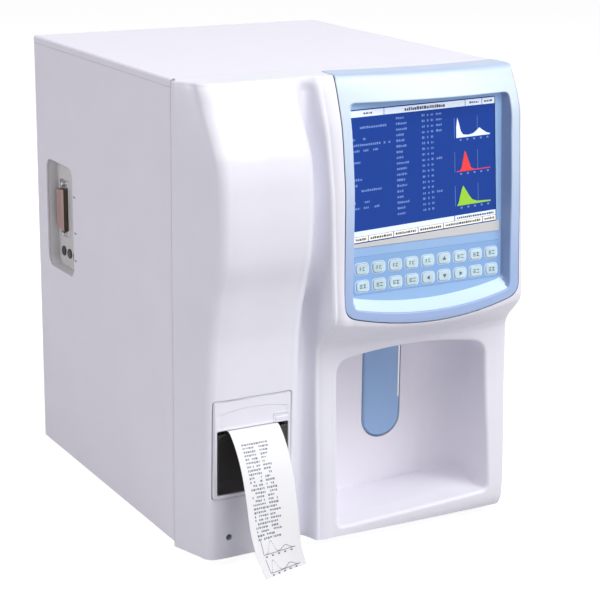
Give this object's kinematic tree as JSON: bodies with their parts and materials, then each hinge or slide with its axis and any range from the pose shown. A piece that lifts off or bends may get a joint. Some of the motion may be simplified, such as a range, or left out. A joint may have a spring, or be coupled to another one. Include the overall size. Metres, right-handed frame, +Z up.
{
  "type": "hematology analyzer",
  "caption": "Bench-top blood counter: sculpted front with a screen and keypad over an open sample bay, a strip recorder at the left, and a folded metal cabinet.",
  "frame": {"origin": "centre of the bounding box in plan, on the table under the feet", "axes": "+Z up; the front faces -Y; +X is the right-hand side seen from the front"},
  "size_m": [0.324, 0.4421, 0.4378],
  "materials": {
    "housing_white": "fine satin moulded plastic",
    "cover_paint": "fine powder coat",
    "bezel_blue": "satin light blue plastic",
    "key_rubber": "matt pale blue rubber",
    "display_glass": "display behind clear cover",
    "paddle_blue": "satin blue plastic",
    "smoked_plastic": "smoked clear plastic",
    "paper": "thermal paper",
    "steel": "plain",
    "aluminium": "plain",
    "rubber": "matt",
    "black_plastic": "fine texture",
    "port_beige": "satin",
    "circuit_green": "solder mask",
    "clear_acrylic": "polished acrylic",
    "grey_plastic": "satin",
    "lamp_dark": "unlit lamp lens"
  },
  "bodies": {
    "cabinet": {"front_housing": "housing_white", "left_side_cover": "cover_paint", "right_side_cover": "cover_paint", "top_cover": "cover_paint", "rear_panel": "cover_paint", "base_plate": "steel", "foot_front_left": "rubber", "foot_front_right": "rubber", "foot_rear_left": "rubber", "foot_rear_right": "rubber", "screen_bezel": "bezel_blue", "lcd_panel": "display_glass", "keypad_panel": "bezel_blue", "sample_bay": "housing_white", "key_switch": "black_plastic", "lift_frame": "aluminium", "probe_wiper": "clear_acrylic", "recorder_case": "housing_white", "print_head": "black_plastic", "status_lamp": "lamp_dark", "port_tray": "cover_paint", "parallel_port": "port_beige", "fan_frame": "black_plastic", "mains_inlet": "black_plastic", "fluid_ports": "grey_plastic", "chassis_plate": "steel", "syringe_block": "clear_acrylic", "counting_baths": "clear_acrylic", "main_board": "circuit_green", "power_supply": "aluminium"},
    "key_1_1": {"key_1_1": "key_rubber"},
    "key_1_2": {"key_1_2": "key_rubber"},
    "key_1_3": {"key_1_3": "key_rubber"},
    "key_1_4": {"key_1_4": "key_rubber"},
    "key_1_5": {"key_1_5": "key_rubber"},
    "key_1_6": {"key_1_6": "key_rubber"},
    "key_1_7": {"key_1_7": "key_rubber"},
    "key_1_8": {"key_1_8": "key_rubber"},
    "key_1_9": {"key_1_9": "key_rubber"},
    "key_2_1": {"key_2_1": "key_rubber"},
    "key_2_2": {"key_2_2": "key_rubber"},
    "key_2_3": {"key_2_3": "key_rubber"},
    "key_2_4": {"key_2_4": "key_rubber"},
    "key_2_5": {"key_2_5": "key_rubber"},
    "key_2_6": {"key_2_6": "key_rubber"},
    "key_2_7": {"key_2_7": "key_rubber"},
    "key_2_8": {"key_2_8": "key_rubber"},
    "key_2_9": {"key_2_9": "key_rubber"},
    "aspirate_key": {"aspirate_key": "paddle_blue"},
    "lead_screw": {"lead_screw": "steel"},
    "probe": {"probe_carriage": "grey_plastic", "sample_probe": "steel"},
    "recorder_door": {"recorder_door": "smoked_plastic"},
    "paper_strip": {"paper_strip": "paper"},
    "recorder_latch": {"recorder_latch": "housing_white"},
    "platen_roller": {"platen_roller": "rubber"},
    "paper_roll": {"paper_roll": "paper"},
    "power_rocker": {"power_rocker": "black_plastic"},
    "fan_rotor": {"fan_rotor": "black_plastic"},
    "syringe_plungers": {"syringe_plungers": "steel"}
  },
  "joints": [
    {"name": "key_1_1_press", "type": "slide", "parent": "cabinet", "child": "key_1_1", "axis": [0, 0.9962, -0.0872], "range_m": [0, 0.0008], "stiffness_N_per_m": 400, "springref_m": -0.0005},
    {"name": "key_1_2_press", "type": "slide", "parent": "cabinet", "child": "key_1_2", "axis": [0, 0.9962, -0.0872], "range_m": [0, 0.0008], "stiffness_N_per_m": 400, "springref_m": -0.0005},
    {"name": "key_1_3_press", "type": "slide", "parent": "cabinet", "child": "key_1_3", "axis": [0, 0.9962, -0.0872], "range_m": [0, 0.0008], "stiffness_N_per_m": 400, "springref_m": -0.0005},
    {"name": "key_1_4_press", "type": "slide", "parent": "cabinet", "child": "key_1_4", "axis": [0, 0.9962, -0.0872], "range_m": [0, 0.0008], "stiffness_N_per_m": 400, "springref_m": -0.0005},
    {"name": "key_1_5_press", "type": "slide", "parent": "cabinet", "child": "key_1_5", "axis": [0, 0.9962, -0.0872], "range_m": [0, 0.0008], "stiffness_N_per_m": 400, "springref_m": -0.0005},
    {"name": "key_1_6_press", "type": "slide", "parent": "cabinet", "child": "key_1_6", "axis": [0, 0.9962, -0.0872], "range_m": [0, 0.0008], "stiffness_N_per_m": 400, "springref_m": -0.0005},
    {"name": "key_1_7_press", "type": "slide", "parent": "cabinet", "child": "key_1_7", "axis": [0, 0.9962, -0.0872], "range_m": [0, 0.0008], "stiffness_N_per_m": 400, "springref_m": -0.0005},
    {"name": "key_1_8_press", "type": "slide", "parent": "cabinet", "child": "key_1_8", "axis": [0, 0.9962, -0.0872], "range_m": [0, 0.0008], "stiffness_N_per_m": 400, "springref_m": -0.0005},
    {"name": "key_1_9_press", "type": "slide", "parent": "cabinet", "child": "key_1_9", "axis": [0, 0.9962, -0.0872], "range_m": [0, 0.0008], "stiffness_N_per_m": 400, "springref_m": -0.0005},
    {"name": "key_2_1_press", "type": "slide", "parent": "cabinet", "child": "key_2_1", "axis": [0, 0.9962, -0.0872], "range_m": [0, 0.0008], "stiffness_N_per_m": 400, "springref_m": -0.0005},
    {"name": "key_2_2_press", "type": "slide", "parent": "cabinet", "child": "key_2_2", "axis": [0, 0.9962, -0.0872], "range_m": [0, 0.0008], "stiffness_N_per_m": 400, "springref_m": -0.0005},
    {"name": "key_2_3_press", "type": "slide", "parent": "cabinet", "child": "key_2_3", "axis": [0, 0.9962, -0.0872], "range_m": [0, 0.0008], "stiffness_N_per_m": 400, "springref_m": -0.0005},
    {"name": "key_2_4_press", "type": "slide", "parent": "cabinet", "child": "key_2_4", "axis": [0, 0.9962, -0.0872], "range_m": [0, 0.0008], "stiffness_N_per_m": 400, "springref_m": -0.0005},
    {"name": "key_2_5_press", "type": "slide", "parent": "cabinet", "child": "key_2_5", "axis": [0, 0.9962, -0.0872], "range_m": [0, 0.0008], "stiffness_N_per_m": 400, "springref_m": -0.0005},
    {"name": "key_2_6_press", "type": "slide", "parent": "cabinet", "child": "key_2_6", "axis": [0, 0.9962, -0.0872], "range_m": [0, 0.0008], "stiffness_N_per_m": 400, "springref_m": -0.0005},
    {"name": "key_2_7_press", "type": "slide", "parent": "cabinet", "child": "key_2_7", "axis": [0, 0.9962, -0.0872], "range_m": [0, 0.0008], "stiffness_N_per_m": 400, "springref_m": -0.0005},
    {"name": "key_2_8_press", "type": "slide", "parent": "cabinet", "child": "key_2_8", "axis": [0, 0.9962, -0.0872], "range_m": [0, 0.0008], "stiffness_N_per_m": 400, "springref_m": -0.0005},
    {"name": "key_2_9_press", "type": "slide", "parent": "cabinet", "child": "key_2_9", "axis": [0, 0.9962, -0.0872], "range_m": [0, 0.0008], "stiffness_N_per_m": 400, "springref_m": -0.0005},
    {"name": "aspirate_key_press", "type": "hinge", "parent": "cabinet", "child": "aspirate_key", "pos_m": [0.0693, -0.0807, 0.164], "axis": [1, 0, 0], "range_deg": [0, 2.5], "stiffness_Nm_per_rad": 0.2, "springref_deg": -5.73},
    {"name": "lead_screw_turn", "type": "hinge", "parent": "cabinet", "child": "lead_screw", "pos_m": [0.09, -0.106, 0.2], "axis": [0, 0, 1], "range_deg": [0, 1350]},
    {"name": "probe_lift", "type": "slide", "parent": "cabinet", "child": "probe", "axis": [0, 0, 1], "range_m": [0, 0.045]},
    {"name": "recorder_door_swing", "type": "hinge", "parent": "cabinet", "child": "recorder_door", "pos_m": [-0.10665, -0.1612, 0.0752], "axis": [1, 0, 0], "range_deg": [0, 60], "deforming": ["paper_strip"]},
    {"name": "paper_strip_lift", "type": "hinge", "parent": "cabinet", "child": "paper_strip", "pos_m": [-0.1075, -0.163, 0.1312], "axis": [1, 0, 0], "range_deg": [-55, 0], "deforming": ["paper_strip"]},
    {"name": "recorder_latch_slide", "type": "slide", "parent": "cabinet", "child": "recorder_latch", "axis": [0, 0, 1], "range_m": [0, 0.0025], "stiffness_N_per_m": 100, "springref_m": -0.002},
    {"name": "platen_turn", "type": "hinge", "parent": "cabinet", "child": "platen_roller", "pos_m": [-0.1075, -0.152, 0.12525], "axis": [1, 0, 0], "continuous": true},
    {"name": "paper_roll_turn", "type": "hinge", "parent": "cabinet", "child": "paper_roll", "pos_m": [-0.1075, -0.128, 0.0913], "axis": [1, 0, 0], "continuous": true},
    {"name": "power_rocker_tip", "type": "hinge", "parent": "cabinet", "child": "power_rocker", "pos_m": [0.058, 0.203, 0.07], "axis": [-1, 0, 0], "range_deg": [0, 16]},
    {"name": "fan_spin", "type": "hinge", "parent": "cabinet", "child": "fan_rotor", "pos_m": [0.095, 0.1942, 0.33], "axis": [0, 1, 0], "continuous": true},
    {"name": "plunger_stroke", "type": "slide", "parent": "cabinet", "child": "syringe_plungers", "axis": [0, 0, 1], "range_m": [0, 0.03]}
  ],
  "couplings": [
    {"joint": "probe_lift", "follows": "lead_screw_turn", "m_per_rad": 0.00191},
    {"joint": "paper_strip_lift", "follows": "recorder_door_swing", "ratio": -0.9166},
    {"joint": "platen_turn", "follows": "paper_roll_turn", "ratio": 3.4545}
  ]
}
